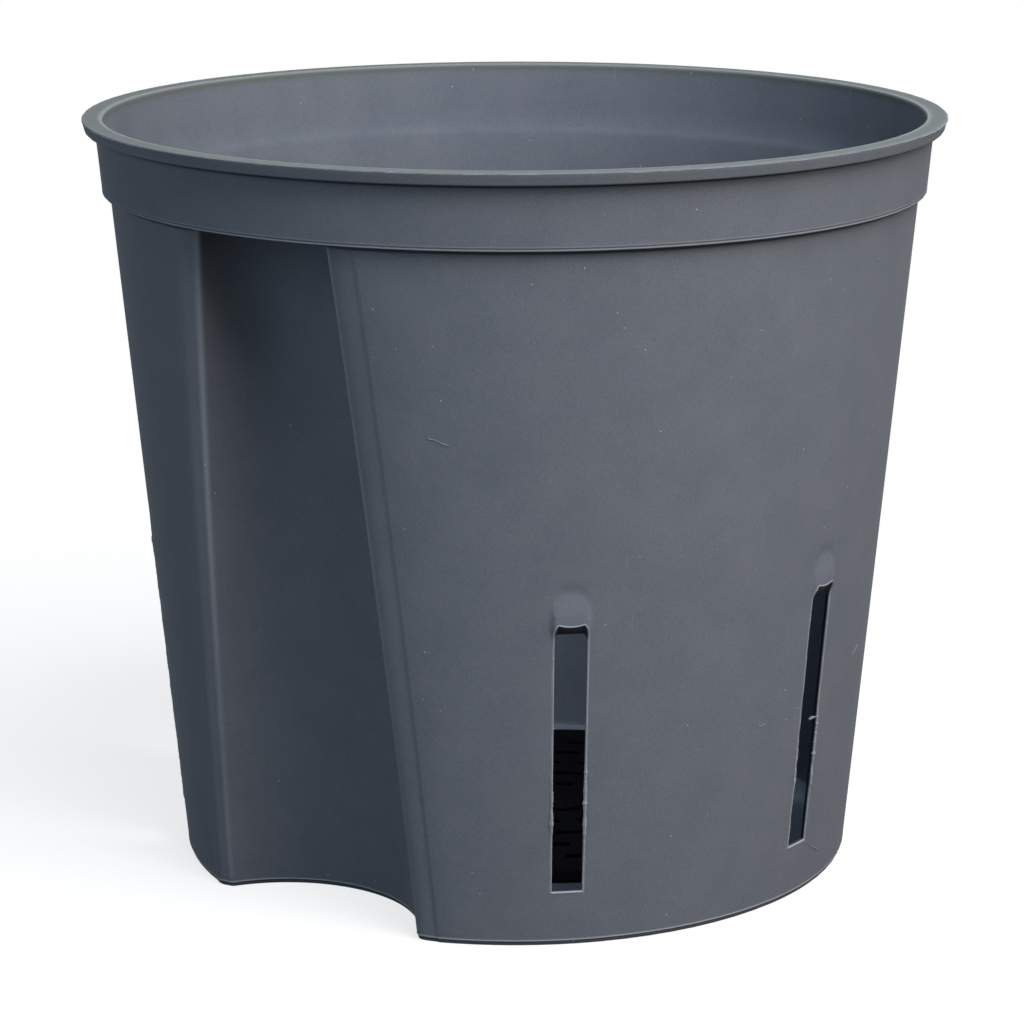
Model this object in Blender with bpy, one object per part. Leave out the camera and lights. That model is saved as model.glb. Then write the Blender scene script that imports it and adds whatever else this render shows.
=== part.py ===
"""Hydroculture pot: a tapered culture pot with a gauge channel and water slots,
and the loose strainer that covers the opening in its floor.

Metres, +Z up. The origin is on the pot's axis at the base, and the gauge channel faces -Y.
"""

import math

import bmesh
import bpy

# Pot: overall
POT_HEIGHT = 0.1900
BASE_RADIUS = 0.0861
WALL_DRAFT = math.radians(5.16)
WALL = 0.0013
FLOOR = 0.0016
BASE_EDGE_RADIUS = 0.0007

# Collar and rim
COLLAR_HEIGHT = 0.0187
COLLAR_STEP = 0.0019
COLLAR_SHELF_DROP = 0.0005
COLLAR_WALL = 0.0016
RIM_OVERHANG = 0.0026
RIM_FLARE = 0.0008
RIM_WIDTH = 0.0060
RIM_EDGE_HEIGHT = 0.0032
RIM_UNDER_DROP = 0.0005
RIM_EDGE_RADIUS = 0.0003

# Gauge channel: a groove in the wall, open at the base and closed by the collar
CHANNEL_DEPTH = 0.0242
CHANNEL_BASE_RADIUS = 0.0342
CHANNEL_TOP_RADIUS = 0.0192
LIP_ROLL_RADIUS = 0.0130
LIP_ROLL_TURN = math.radians(24)
LIP_EDGE_RADIUS = 0.0004

# Water slots, and the blister in the wall above each of them
SLOT_PLACES = 8
SLOT_WIDTH = 0.0076
SLOT_SILL_HEIGHT = 0.0140
SLOT_LENGTH = 0.0681
SLOT_CEILING_RISE = 0.0020
BLISTER_HEIGHT = 0.0090
BLISTER_PROUD = 0.0011
BLISTER_SIDE = 0.0007
BLISTER_SINK = 0.0003
BLISTER_FLATNESS = 4

# Opening in the floor, and the strainer that lies on the ledge round it
OPENING_RADIUS = 0.0560
OPENING_OFFSET = 0.0185
LEDGE_COVER = 0.0060
SEAT_GAP = 0.0003
SPIGOT_CLEARANCE = 0.0005
SPIGOT_DEPTH = 0.0010
SPIGOT_WALL = 0.0016
STRAINER_PLATE = 0.0015
STRAINER_BEVEL = 0.0005
STRAINER_RINGS = 5
STRAINER_FIRST_RING = 0.0110
STRAINER_RING_PITCH = 0.0090
STRAINER_SLOT_WIDTH = 0.0026
STRAINER_BAR = 0.0050
STRAINER_SLOTS_ADDED = 4

# How finely the curves are divided, and how far a cutter runs past what it cuts
ROUND_STEPS = 72
CHANNEL_STEPS = 14
EDGE_STEPS = 5
ROLL_STEPS = 3
BASE_EDGE_STEPS = 2
WALL_STEPS = 8
BLISTER_STEPS = 8
STRAINER_SLOT_STEPS = 3
PAST = 0.004


def clear_scene():
    for obj in list(bpy.data.objects):
        bpy.data.objects.remove(obj, do_unlink=True)


def make_material(name, colour, roughness):
    material = bpy.data.materials.new(name)
    material.use_nodes = True
    shader = material.node_tree.nodes["Principled BSDF"]
    shader.inputs["Base Color"].default_value = (*colour, 1.0)
    shader.inputs["Roughness"].default_value = roughness
    shader.inputs["Metallic"].default_value = 0.0
    material.diffuse_color = (*colour, 1.0)
    return material


def make_object(name, mesh_data, material=None):
    mesh = bpy.data.meshes.new(name)
    mesh_data.to_mesh(mesh)
    mesh_data.free()
    obj = bpy.data.objects.new(name, mesh)
    bpy.context.scene.collection.objects.link(obj)
    if material:
        mesh.materials.append(material)
    return obj


def make_helper(name, mesh_data):
    obj = make_object(name, mesh_data)
    obj.hide_render = True
    obj.display_type = "WIRE"
    return obj


def add_boolean(obj, helper, operation):
    cut = obj.modifiers.new(operation.title(), "BOOLEAN")
    cut.operation = operation
    cut.solver = "EXACT"
    cut.object = helper


def smooth(obj, limit=math.radians(32)):
    obj.data.shade_smooth()
    obj.data.set_sharp_from_angle(angle=limit)


def bearing(angle, radius=1.0):
    """The point at this radius and angle, counted from -Y towards +X."""
    return radius * math.sin(angle), -radius * math.cos(angle)


def spread(start, end, steps):
    return [start + (end - start) * i / steps for i in range(steps + 1)]


def wall_radius(z):
    return BASE_RADIUS + z * math.tan(WALL_DRAFT)


def shelf_height():
    """Where the wall ends and the collar's underside starts."""
    return POT_HEIGHT - COLLAR_HEIGHT - COLLAR_SHELF_DROP


def channel_radius(z):
    share = z / shelf_height()
    return CHANNEL_BASE_RADIUS + (CHANNEL_TOP_RADIUS - CHANNEL_BASE_RADIUS) * share


def channel_centre(z):
    return wall_radius(z) - CHANNEL_DEPTH + channel_radius(z)


def lip(z):
    """The two arcs of the channel's lip at height z: a small one that touches the
    groove, and a gentle roll that joins it to the wall. Returns the small arc's centre,
    the roll's centre and the bearing where the roll meets the wall."""
    radius = wall_radius(z)
    edge = LIP_EDGE_RADIUS + WALL
    roll = LIP_ROLL_RADIUS + WALL
    along = (radius - roll) + (roll - edge) * math.cos(LIP_ROLL_TURN)
    across = (roll - edge) * math.sin(LIP_ROLL_TURN)
    reach = math.hypot(along, across)
    centre = channel_centre(z)
    touch = channel_radius(z) + edge
    edge_angle = math.acos((reach**2 + centre**2 - touch**2) / (2 * reach * centre))
    roll_angle = edge_angle + math.atan2(across, along)
    return bearing(edge_angle, reach), bearing(roll_angle, radius - roll), roll_angle


def arc(centre, radius, turns):
    steps = [bearing(turn, radius) for turn in turns]
    return [(centre[0] + x, centre[1] + y) for x, y in steps]


def half_outline(z, inset):
    """One half of the wall's outline at height z, from the bottom of the channel
    round its lip to the far side, moved into the plastic by inset."""
    edge_centre, roll_centre, roll_angle = lip(z)
    groove_centre = bearing(0, channel_centre(z))
    across = edge_centre[0]
    groove_turn = math.atan2(across, edge_centre[1] - groove_centre[1])
    edge_end = roll_angle - LIP_ROLL_TURN
    groove_turns = [math.pi - turn for turn in spread(0, groove_turn, CHANNEL_STEPS)]
    edge_turns = spread(-groove_turn, edge_end, EDGE_STEPS)[1:]
    roll_turns = spread(edge_end, roll_angle, ROLL_STEPS)[1:]
    wall_turns = spread(roll_angle, math.pi, ROUND_STEPS // 2)[1:]
    return (
        arc(groove_centre, channel_radius(z) + inset, groove_turns)
        + arc(edge_centre, LIP_EDGE_RADIUS + WALL - inset, edge_turns)
        + arc(roll_centre, LIP_ROLL_RADIUS + WALL - inset, roll_turns)
        + arc((0, 0), wall_radius(z) - inset, wall_turns)
    )


def mirror_ring(half, z):
    """A whole ring of points from one half, which starts and ends on the mirror plane."""
    ring = [(x, y, z) for x, y in half]
    return ring + [(-x, y, z) for x, y in reversed(half[1:-1])]


def wall_ring(z, inset, height=None):
    return mirror_ring(half_outline(z, inset), z if height is None else height)


def round_ring(radius, z):
    """A full circle with as many points over the channel as the channel has."""
    lip_angle = lip(shelf_height())[2]
    over_channel = spread(0, lip_angle, CHANNEL_STEPS + EDGE_STEPS + ROLL_STEPS)
    rest = spread(lip_angle, math.pi, ROUND_STEPS // 2)[1:]
    return mirror_ring(arc((0, 0), radius, over_channel + rest), z)


def loft(rings):
    """A closed solid through these rings, with a flat face on the first and the last."""
    mesh = bmesh.new()
    rows = [[mesh.verts.new(point) for point in ring] for ring in rings]
    for low, high in zip(rows, rows[1:]):
        for i in range(len(low)):
            j = (i + 1) % len(low)
            mesh.faces.new((low[i], low[j], high[j], high[i]))
    mesh.faces.new(reversed(rows[0]))
    mesh.faces.new(rows[-1])
    bmesh.ops.recalc_face_normals(mesh, faces=mesh.faces)
    return mesh


def quarter(radius, steps):
    """Points of a quarter round as (inset, height), from the flat face to the upright one."""
    turns = spread(0, math.pi / 2, steps)
    return [(radius * (1 - math.sin(t)), radius * (1 - math.cos(t))) for t in turns]


def pot_shell():
    collar_foot = POT_HEIGHT - COLLAR_HEIGHT
    rim_foot = POT_HEIGHT - RIM_EDGE_HEIGHT
    neck = rim_foot - RIM_UNDER_DROP
    collar_radius = wall_radius(collar_foot) + COLLAR_STEP
    neck_radius = wall_radius(neck) + COLLAR_STEP
    rim_radius = neck_radius + RIM_OVERHANG + RIM_FLARE
    mouth_radius = rim_radius - RIM_WIDTH

    rings = [wall_ring(z, inset) for inset, z in quarter(BASE_EDGE_RADIUS, BASE_EDGE_STEPS)]
    outer_heights = spread(BASE_EDGE_RADIUS, shelf_height(), WALL_STEPS)[1:]
    rings += [wall_ring(z, 0) for z in outer_heights]
    for radius, z in (
        (collar_radius, collar_foot),
        (neck_radius, neck),
        (neck_radius + RIM_OVERHANG, rim_foot),
        (rim_radius, POT_HEIGHT - RIM_EDGE_RADIUS),
        (rim_radius - RIM_EDGE_RADIUS, POT_HEIGHT),
        (mouth_radius + RIM_EDGE_RADIUS, POT_HEIGHT),
        (mouth_radius, POT_HEIGHT - RIM_EDGE_RADIUS),
        (collar_radius - COLLAR_WALL, collar_foot + WALL),
    ):
        rings.append(round_ring(radius, z))
    inner_heights = spread(shelf_height(), FLOOR, WALL_STEPS)
    rings.append(wall_ring(inner_heights[0], WALL, inner_heights[0] + WALL))
    rings += [wall_ring(z, WALL) for z in inner_heights[1:]]
    return loft(rings)


def slot_angles():
    """Every place round the pot except the one that holds the channel."""
    return [2 * math.pi * i / SLOT_PLACES for i in range(1, SLOT_PLACES)]


def place_radially(points, angle):
    """Points given as (outwards, sideways, up), turned to this bearing."""
    out = bearing(angle)
    side = (-out[1], out[0])
    return [
        (out[0] * r + side[0] * s, out[1] * r + side[1] * s, z) for r, s, z in points
    ]


def add_block(mesh, bottom, top):
    """Adds a closed solid between two rings of points to a mesh."""
    count = len(bottom)
    low = [mesh.verts.new(point) for point in bottom]
    high = [mesh.verts.new(point) for point in top]
    faces = [mesh.faces.new(low), mesh.faces.new(high)]
    for i in range(count):
        j = (i + 1) % count
        faces.append(mesh.faces.new((low[i], low[j], high[j], high[i])))
    bmesh.ops.recalc_face_normals(mesh, faces=faces)


def slot_top():
    return SLOT_SILL_HEIGHT + SLOT_LENGTH


def add_slot_cutter(mesh, angle):
    """A slot with a level sill, upright sides and a ceiling that rises outwards."""
    half = SLOT_WIDTH / 2
    near = wall_radius(SLOT_SILL_HEIGHT) - WALL - PAST
    face = wall_radius(slot_top())
    far = face + BLISTER_PROUD + PAST
    profile = [
        (near, SLOT_SILL_HEIGHT),
        (far, SLOT_SILL_HEIGHT),
        (far, slot_top()),
        (face, slot_top()),
        (face - WALL, slot_top() - SLOT_CEILING_RISE),
        (near, slot_top() - SLOT_CEILING_RISE),
    ]
    left = place_radially([(r, -half, z) for r, z in profile], angle)
    right = place_radially([(r, half, z) for r, z in profile], angle)
    add_block(mesh, left, right)


def blister_rows():
    """Rows of (outwards, sideways, up) over a low dome that fades into the wall at its
    top and sides. It starts a little below the slot's top, where the slot cuts it level."""
    foot = slot_top() - BLISTER_PROUD
    rise = BLISTER_HEIGHT + BLISTER_PROUD
    rows = []
    for turn in spread(0, math.pi / 2, BLISTER_STEPS // 2):
        z = foot + rise * math.sin(turn)
        half = (SLOT_WIDTH / 2 + BLISTER_SIDE) * (1 + math.cos(turn)) / 2
        row = []
        for share in spread(-1, 1, BLISTER_STEPS):
            side = half * share
            proud = BLISTER_PROUD * math.cos(turn) * (1 - abs(share) ** BLISTER_FLATNESS)
            out = math.sqrt(wall_radius(z) ** 2 - side**2) + proud - BLISTER_SINK
            row.append((out, side, z))
        rows.append(row)
    return rows


def add_blister(mesh, angle):
    """The dome as a closed solid whose back lies inside the wall."""
    rows = blister_rows()
    back = wall_radius(rows[0][0][2]) - WALL / 2
    outline = rows[0] + [row[-1] for row in rows[1:]]
    outline += list(reversed(rows[-1]))[1:] + [row[0] for row in reversed(rows[1:-1])]
    front = [[mesh.verts.new(p) for p in place_radially(row, angle)] for row in rows]
    faces = []
    for low, high in zip(front, front[1:]):
        for i in range(BLISTER_STEPS):
            faces.append(mesh.faces.new((low[i], low[i + 1], high[i + 1], high[i])))
    edge = front[0] + [row[-1] for row in front[1:]]
    edge += list(reversed(front[-1]))[1:] + [row[0] for row in reversed(front[1:-1])]
    behind = place_radially([(back, side, z) for _, side, z in outline], angle)
    behind = [mesh.verts.new(point) for point in behind]
    faces.append(mesh.faces.new(behind))
    for i in range(len(edge)):
        j = (i + 1) % len(edge)
        faces.append(mesh.faces.new((edge[i], edge[j], behind[j], behind[i])))
    bmesh.ops.recalc_face_normals(mesh, faces=faces)


def full_turn(steps):
    return spread(0, 2 * math.pi, steps)[:-1]


def make_pot(material):
    pot = make_object("culture_pot", pot_shell(), material)
    blisters = bmesh.new()
    cutters = bmesh.new()
    for angle in slot_angles():
        add_blister(blisters, angle)
        add_slot_cutter(cutters, angle)
    hole = arc((0, OPENING_OFFSET), OPENING_RADIUS, full_turn(ROUND_STEPS))
    below = [(x, y, -PAST) for x, y in hole]
    above = [(x, y, FLOOR + PAST) for x, y in hole]
    add_block(cutters, below, above)
    add_boolean(pot, make_helper("blister_shapes", blisters), "UNION")
    add_boolean(pot, make_helper("slot_shapes", cutters), "DIFFERENCE")
    smooth(pot)
    return pot


def strainer_body():
    """The strainer, round its own axis: a plate with a short spigot under it."""
    outer = OPENING_RADIUS + LEDGE_COVER
    spigot = OPENING_RADIUS - SPIGOT_CLEARANCE
    plate_foot = FLOOR + SEAT_GAP
    plate_top = plate_foot + STRAINER_PLATE
    profile = [
        (spigot - SPIGOT_WALL, plate_foot),
        (spigot - SPIGOT_WALL, plate_foot - SPIGOT_DEPTH),
        (spigot, plate_foot - SPIGOT_DEPTH),
        (spigot, plate_foot),
        (outer, plate_foot),
        (outer, plate_top - STRAINER_BEVEL),
        (outer - STRAINER_BEVEL, plate_top),
    ]
    rings = []
    for radius, z in profile:
        rings.append([(x, y, z) for x, y in arc((0, 0), radius, full_turn(ROUND_STEPS))])
    return loft(rings)


def add_strainer_slots(mesh):
    """Rings of short curved slots, each ring with more of them than the one inside it."""
    low = FLOOR - PAST
    high = FLOOR + SEAT_GAP + STRAINER_PLATE + PAST
    for ring in range(STRAINER_RINGS):
        radius = STRAINER_FIRST_RING + STRAINER_RING_PITCH * ring
        count = STRAINER_SLOTS_ADDED * (ring + 1)
        half = math.pi / count - STRAINER_BAR / 2 / radius
        inner = radius - STRAINER_SLOT_WIDTH / 2
        outer = radius + STRAINER_SLOT_WIDTH / 2
        for i in range(count):
            middle = 2 * math.pi * (i + 0.5) / count
            turns = spread(middle - half, middle + half, STRAINER_SLOT_STEPS)
            outline = arc((0, 0), outer, turns) + arc((0, 0), inner, reversed(turns))
            below = [(x, y, low) for x, y in outline]
            above = [(x, y, high) for x, y in outline]
            add_block(mesh, below, above)


def make_strainer(material):
    strainer = make_object("strainer_disc", strainer_body(), material)
    cutters = bmesh.new()
    add_strainer_slots(cutters)
    helper = make_helper("strainer_slot_shapes", cutters)
    add_boolean(strainer, helper, "DIFFERENCE")
    lift_axis = bpy.data.objects.new("strainer_lift", None)
    bpy.context.scene.collection.objects.link(lift_axis)
    lift_axis.location = (0, OPENING_OFFSET, 0)
    strainer.parent = lift_axis
    helper.parent = lift_axis
    smooth(strainer)
    return strainer


def main():
    clear_scene()
    pot_plastic = make_material("slate_plastic", (0.105, 0.120, 0.140), 0.48)
    strainer_plastic = make_material("black_plastic", (0.012, 0.012, 0.013), 0.55)
    make_pot(pot_plastic)
    make_strainer(strainer_plastic)


main()
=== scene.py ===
# Hydroculture pot: a slate grey culture pot with a gauge channel and water slots,
# and the black strainer that lies loose on its floor. Metres, +Z up, the channel faces -Y.
import functools
import math

import bmesh
import bpy
from mathutils import Matrix, Vector


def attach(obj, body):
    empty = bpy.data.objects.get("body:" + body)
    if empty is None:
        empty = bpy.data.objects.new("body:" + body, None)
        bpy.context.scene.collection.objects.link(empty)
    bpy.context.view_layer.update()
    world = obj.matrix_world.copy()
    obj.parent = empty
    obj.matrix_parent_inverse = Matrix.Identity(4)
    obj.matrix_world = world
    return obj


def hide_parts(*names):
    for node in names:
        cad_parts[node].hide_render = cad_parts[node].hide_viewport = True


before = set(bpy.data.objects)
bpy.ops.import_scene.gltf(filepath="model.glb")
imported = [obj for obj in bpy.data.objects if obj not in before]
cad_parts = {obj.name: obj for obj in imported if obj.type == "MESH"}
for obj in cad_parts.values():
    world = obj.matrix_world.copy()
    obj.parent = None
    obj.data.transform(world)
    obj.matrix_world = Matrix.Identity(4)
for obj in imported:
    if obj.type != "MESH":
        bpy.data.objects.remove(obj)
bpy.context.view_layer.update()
scene = bpy.context.scene
mm = 0.001


# Nodes written as Python sums, for the materials and for the geometry trees

class Wire:                                   # an output socket that takes part in sums
    def __init__(self, bench, socket):
        self.bench, self.socket = bench, socket

    def __getitem__(self, name):              # another output of the same node
        return Wire(self.bench, self.socket.node.outputs[name])

    def maths(self, operation, first, second):
        return self.bench.node("ShaderNodeMath", {"operation": operation}, {0: first, 1: second})

    def __add__(self, other):
        return self.maths("ADD", self, other)

    def __sub__(self, other):
        return self.maths("SUBTRACT", self, other)

    def __rsub__(self, other):
        return self.maths("SUBTRACT", other, self)

    def __mul__(self, other):
        return self.maths("MULTIPLY", self, other)

    def __truediv__(self, other):
        return self.maths("DIVIDE", self, other)

    def __rtruediv__(self, other):
        return self.maths("DIVIDE", other, self)

    def __gt__(self, other):
        return self.maths("GREATER_THAN", self, other)

    def above(self, other):                   # the larger of the two
        return self.maths("MAXIMUM", self, other)

    __radd__ = __add__


class Bench:                                  # a node tree and the one way nodes are put on it
    def __init__(self, tree):
        self.tree = tree

    def node(self, kind, settings=None, values=None, output=0):
        made = self.tree.nodes.new(kind)
        for name, value in (settings or {}).items():
            setattr(made, name, value)
        for name, value in (values or {}).items():
            self.feed(made.inputs[name], value)
        return Wire(self, made.outputs[output]) if made.outputs else made

    def feed(self, socket, value):
        if isinstance(value, (list, tuple)) and value and isinstance(value[0], Wire):
            for wire in value:
                self.tree.links.new(wire.socket, socket)
        elif isinstance(value, Wire):
            self.tree.links.new(value.socket, socket)
        else:
            socket.default_value = value

    def blend(self, share, first, second):    # colours mixed by a share
        return self.node("ShaderNodeMix", {"data_type": "RGBA", "clamp_factor": True},
                         {0: share, 6: first, 7: second}, output=2)

    def step(self, value, low, high):         # 0 below low, 1 above high, smooth between
        return self.node("ShaderNodeMapRange", {"interpolation_type": "SMOOTHSTEP"},
                         {"Value": value, "From Min": low, "From Max": high})

    def noise(self, place, size, detail=2.0, roughness=0.5):      # size in millimetres
        return self.node("ShaderNodeTexNoise", None,
                         {"Vector": place, "Scale": 1 / (size * mm), "Detail": detail,
                          "Roughness": roughness})


def geometryTree(name, inputs):               # an empty tree with these named inputs
    tree = bpy.data.node_groups.new(name, "GeometryNodeTree")
    tree.interface.new_socket("Geometry", in_out="INPUT", socket_type="NodeSocketGeometry")
    for label, (kind, value) in inputs.items():
        socket = tree.interface.new_socket(label, in_out="INPUT", socket_type="NodeSocket" + kind)
        if value is not None:
            socket.default_value = value
    tree.interface.new_socket("Geometry", in_out="OUTPUT", socket_type="NodeSocketGeometry")
    bench = Bench(tree)
    return bench, bench.node("NodeGroupInput")


def endTree(bench, geometry, material):
    real = bench.node("GeometryNodeRealizeInstances", None, {"Geometry": geometry})
    done = bench.node("GeometryNodeSetMaterial", None, {"Geometry": real, "Material": material})
    bench.node("NodeGroupOutput", None, {"Geometry": done})


def turnedCopies(bench, shape, count, first, step, centre=(0, 0, 0)):
    places = bench.node("GeometryNodeMeshLine", {"mode": "OFFSET"},
                        {"Count": count, "Start Location": centre, "Offset": (0, 0, 0)})
    turn = bench.node("GeometryNodeInputIndex") * step + first
    rotation = bench.node("ShaderNodeCombineXYZ", None, {"Z": turn})
    return bench.node("GeometryNodeInstanceOnPoints", None,
                      {"Points": places, "Instance": shape, "Rotation": rotation})


def bake(piece, tree, *runs):                 # one modifier for each run, kept as a plain mesh
    for values in runs:
        modifier = piece.modifiers.new(tree.name, "NODES")
        modifier.node_group = tree
        for socket in tree.interface.items_tree:
            if socket.in_out == "INPUT" and socket.name in values:
                modifier[socket.identifier] = values[socket.name]
    graph = bpy.context.evaluated_depsgraph_get()
    mesh = bpy.data.meshes.new_from_object(piece.evaluated_get(graph), depsgraph=graph)
    piece.modifiers.clear()
    piece.data = mesh
    finishMesh(piece)


def finishMesh(piece, merge=0.004 * mm, sharp=40):                 # sharp above so many degrees
    work = bmesh.new()
    work.from_mesh(piece.data)
    bmesh.ops.remove_doubles(work, verts=work.verts, dist=merge)
    bmesh.ops.recalc_face_normals(work, faces=work.faces)
    work.to_mesh(piece.data)
    work.free()
    piece.data.shade_smooth()
    piece.data.set_sharp_from_angle(angle=math.radians(sharp))


def makePiece(name, points, faces, marks=None, edges=()):          # points in millimetres
    mesh = bpy.data.meshes.new(name)
    mesh.from_pydata([tuple(c * mm for c in point) for point in points], edges, faces)
    for label, values in (marks or {}).items():
        mesh.attributes.new(label, "FLOAT", "POINT").data.foreach_set("value", values)
    piece = bpy.data.objects.new(name, mesh)
    scene.collection.objects.link(piece)
    return piece


# Camera, at the photograph's angle: millimetres, degrees for the turn, radians for the rest

camera = {"turn": 37.0, "distance": 848.117, "height": 298.905, "lens": 118.79, "sensor": 36,
          "pitch": 0.246, "yaw": -0.001, "roll": -0.002}


def makeCamera(values):
    pitch, yaw, roll = values["pitch"], values["yaw"], values["roll"]
    forward = Vector((math.sin(yaw) * math.cos(pitch), math.cos(yaw) * math.cos(pitch),
                      -math.sin(pitch)))
    right = Vector((math.cos(yaw), -math.sin(yaw), 0))
    up = right.cross(forward)
    axes = Matrix((right * math.cos(roll) + up * math.sin(roll),
                   up * math.cos(roll) - right * math.sin(roll), -forward)).transposed()
    place = Matrix.Translation((0, -values["distance"] * mm, values["height"] * mm))
    data = bpy.data.cameras.new("camera")
    data.lens = values["lens"]
    data.sensor_width = values["sensor"]
    eye = bpy.data.objects.new("camera", data)
    scene.collection.objects.link(eye)
    turned = Matrix.Rotation(math.radians(values["turn"]), 4, "Z")
    eye.matrix_world = turned @ place @ axes.to_4x4()
    scene.camera = eye


makeCamera(camera)
print("camera set")


# The two plastics: satin from the mould, with fine grain, a faint cloudiness and dust; on the
# slate, painted highlights along edges and painted shade in creases

def dust(bench, place, cell, size, share):    # round specks, at most one to a cell
    cells = bench.node("ShaderNodeTexVoronoi", None, {"Vector": place, "Scale": 1 / (cell * mm)})
    pick = bench.node("ShaderNodeSeparateColor", None, {0: cells["Color"]})
    solid, faded = 0.5 * size / cell, 1.3 * size / cell
    near = 1 - bench.step(cells["Distance"], solid, faded)
    return near * (pick > 1 - share)


def scratches(bench, place, turn, size, share):                    # fine lines one way, broken up
    stretch, breakSize, breakRange, softness = 0.03, size * 9, (0.52, 0.6), 0.02
    laid = bench.node("ShaderNodeMapping", None,
                      {"Vector": place, "Rotation": turn, "Scale": (1, 1, stretch)})
    lines = bench.step(bench.noise(laid, size, 1.0), 1 - share, 1 + softness - share)
    return lines * bench.step(bench.noise(place, breakSize), *breakRange)


class Plastic:                                # a material, with what both plastics have
    def __init__(self, name, values):
        self.values = values
        self.material = bpy.data.materials.new(name)
        self.material.use_nodes = True
        self.bench = Bench(self.material.node_tree)
        self.place = self.bench.node("ShaderNodeTexCoord", output="Object")
        self.grain = self.bench.noise(self.place, *values["grain"])
        self.clouds = self.bench.noise(self.place, *values["clouds"])
        mottle = self.clouds * values["cloudShare"] + self.grain * values["grainShare"]
        self.colour = self.bench.blend(self.bench.step(mottle, *values["mottleRange"]),
                                       values["dark"], values["light"])

    def cover(self, share, colour):           # another colour laid over the last, by a share
        self.colour = self.bench.blend(share, self.colour, colour)

    def addDust(self):
        layers = [dust(self.bench, self.place, *each) for each in self.values["specks"]]
        specks = functools.reduce(Wire.above, layers)
        self.cover(specks * self.values["speckShare"], self.values["dust"])

    def finish(self, roughness, height):
        bump = self.bench.node("ShaderNodeBump", None, {
            "Strength": self.values["relief"], "Distance": self.values["reliefDepth"] * mm,
            "Height": height})
        shader = self.material.node_tree.nodes["Principled BSDF"]
        shader.inputs["Specular IOR Level"].default_value = self.values["specular"]
        for name, wire in (("Base Color", self.colour), ("Roughness", roughness),
                           ("Normal", bump)):
            self.bench.feed(shader.inputs[name], wire)
        return self.material


# Noises are (size in millimetres, detail, roughness), scratches (turn, width, share) and
# specks (cell, size, share of the cells)

# Over the slate lie a pale colour for scratches and painted edge highlights, a painted shade for
# the rim's top, and a near black painted shade for creases and tunnels
slate = {"dark": (0.098, 0.110, 0.131, 1), "light": (0.129, 0.140, 0.157, 1),
         "violet": (0.122, 0.124, 0.152, 1), "worn": (0.33, 0.35, 0.37, 1),
         "rim": (0.094, 0.103, 0.091, 1), "cut": (0.020, 0.022, 0.030, 1),
         "dust": (0.55, 0.57, 0.60, 1),
         "grain": (0.38, 3.0, 0.7), "clouds": (14.0, 4.0, 0.6), "tint": (4.0, 3.0, 0.6),
         "swell": (1.6, 3.0, 0.6),
         "scratches": (((0.3, 0.9, 0.2), 0.9, 0.22), ((-0.7, 0.2, 0.5), 1.1, 0.22)),
         "specks": ((4.6, 0.15, 0.45), (13.0, 0.30, 0.35)),
         "cloudShare": 0.28, "grainShare": 0.72, "mottleRange": (0.36, 0.66),
         "violetRange": (0.5, 0.72), "violetShare": 0.5, "witnessShare": 0.75,
         "scratchShare": 0.12, "speckShare": 0.75,
         "roughness": 0.68, "roughGrain": 0.16, "roughClouds": 0.10, "specular": 0.02,
         "relief": 0.42, "reliefDepth": 0.05, "swellShare": 0.8, "scratchHeight": -0.3}


def makeSlate():
    plastic = Plastic("slate_plastic", slate)
    bench, place = plastic.bench, plastic.place
    witness, rimTop, cut = [
        bench.node("ShaderNodeAttribute", {"attribute_name": name}, output="Fac")
        for name in ("witness", "rimTop", "cut")]
    tint = bench.step(bench.noise(place, *slate["tint"]), *slate["violetRange"])
    plastic.cover(tint * slate["violetShare"], slate["violet"])
    # painted shade on the rim's top: a little darker and greener than the wall
    plastic.cover(rimTop, slate["rim"])
    oneWay, other = [scratches(bench, place, *each) for each in slate["scratches"]]
    lines = oneWay.above(other)
    # the pale colour: scratches, which are wear, and edge lines, which are witness lines with a
    # painted highlight
    plastic.cover(witness * slate["witnessShare"] + lines * slate["scratchShare"], slate["worn"])
    plastic.addDust()
    # painted shade: under the rim and the collar, in creases, below the base bead and in the slot
    # tunnels
    plastic.cover(cut, slate["cut"])
    rough = (slate["roughness"] + (plastic.grain - 0.5) * slate["roughGrain"]
             + (plastic.clouds - 0.5) * slate["roughClouds"])
    swell = bench.noise(place, *slate["swell"]) * slate["swellShare"]
    return plastic.finish(rough, plastic.grain + swell + lines * slate["scratchHeight"])


black = {"dark": (0.0018, 0.0018, 0.0026, 1), "light": (0.0029, 0.0029, 0.0040, 1),
         "dust": (0.05, 0.05, 0.055, 1),
         "grain": (0.5, 3.0, 0.65), "clouds": (11.0, 3.0, 0.5), "specks": ((6.0, 0.2, 0.4),),
         "cloudShare": 0.6, "grainShare": 0.4, "mottleRange": (0.35, 0.7), "speckShare": 0.8,
         "roughness": 0.75, "roughGrain": 0.2, "specular": 0.02,
         "relief": 0.3, "reliefDepth": 0.06}


def makeBlack():
    plastic = Plastic("black_plastic", black)
    plastic.addDust()
    rough = black["roughness"] + (plastic.grain - 0.5) * black["roughGrain"]
    return plastic.finish(rough, plastic.grain)


slatePlastic = makeSlate()
blackPlastic = makeBlack()
print("materials made")


# The pot. Sizes in millimetres and degrees; the main ones are the CAD's

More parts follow.
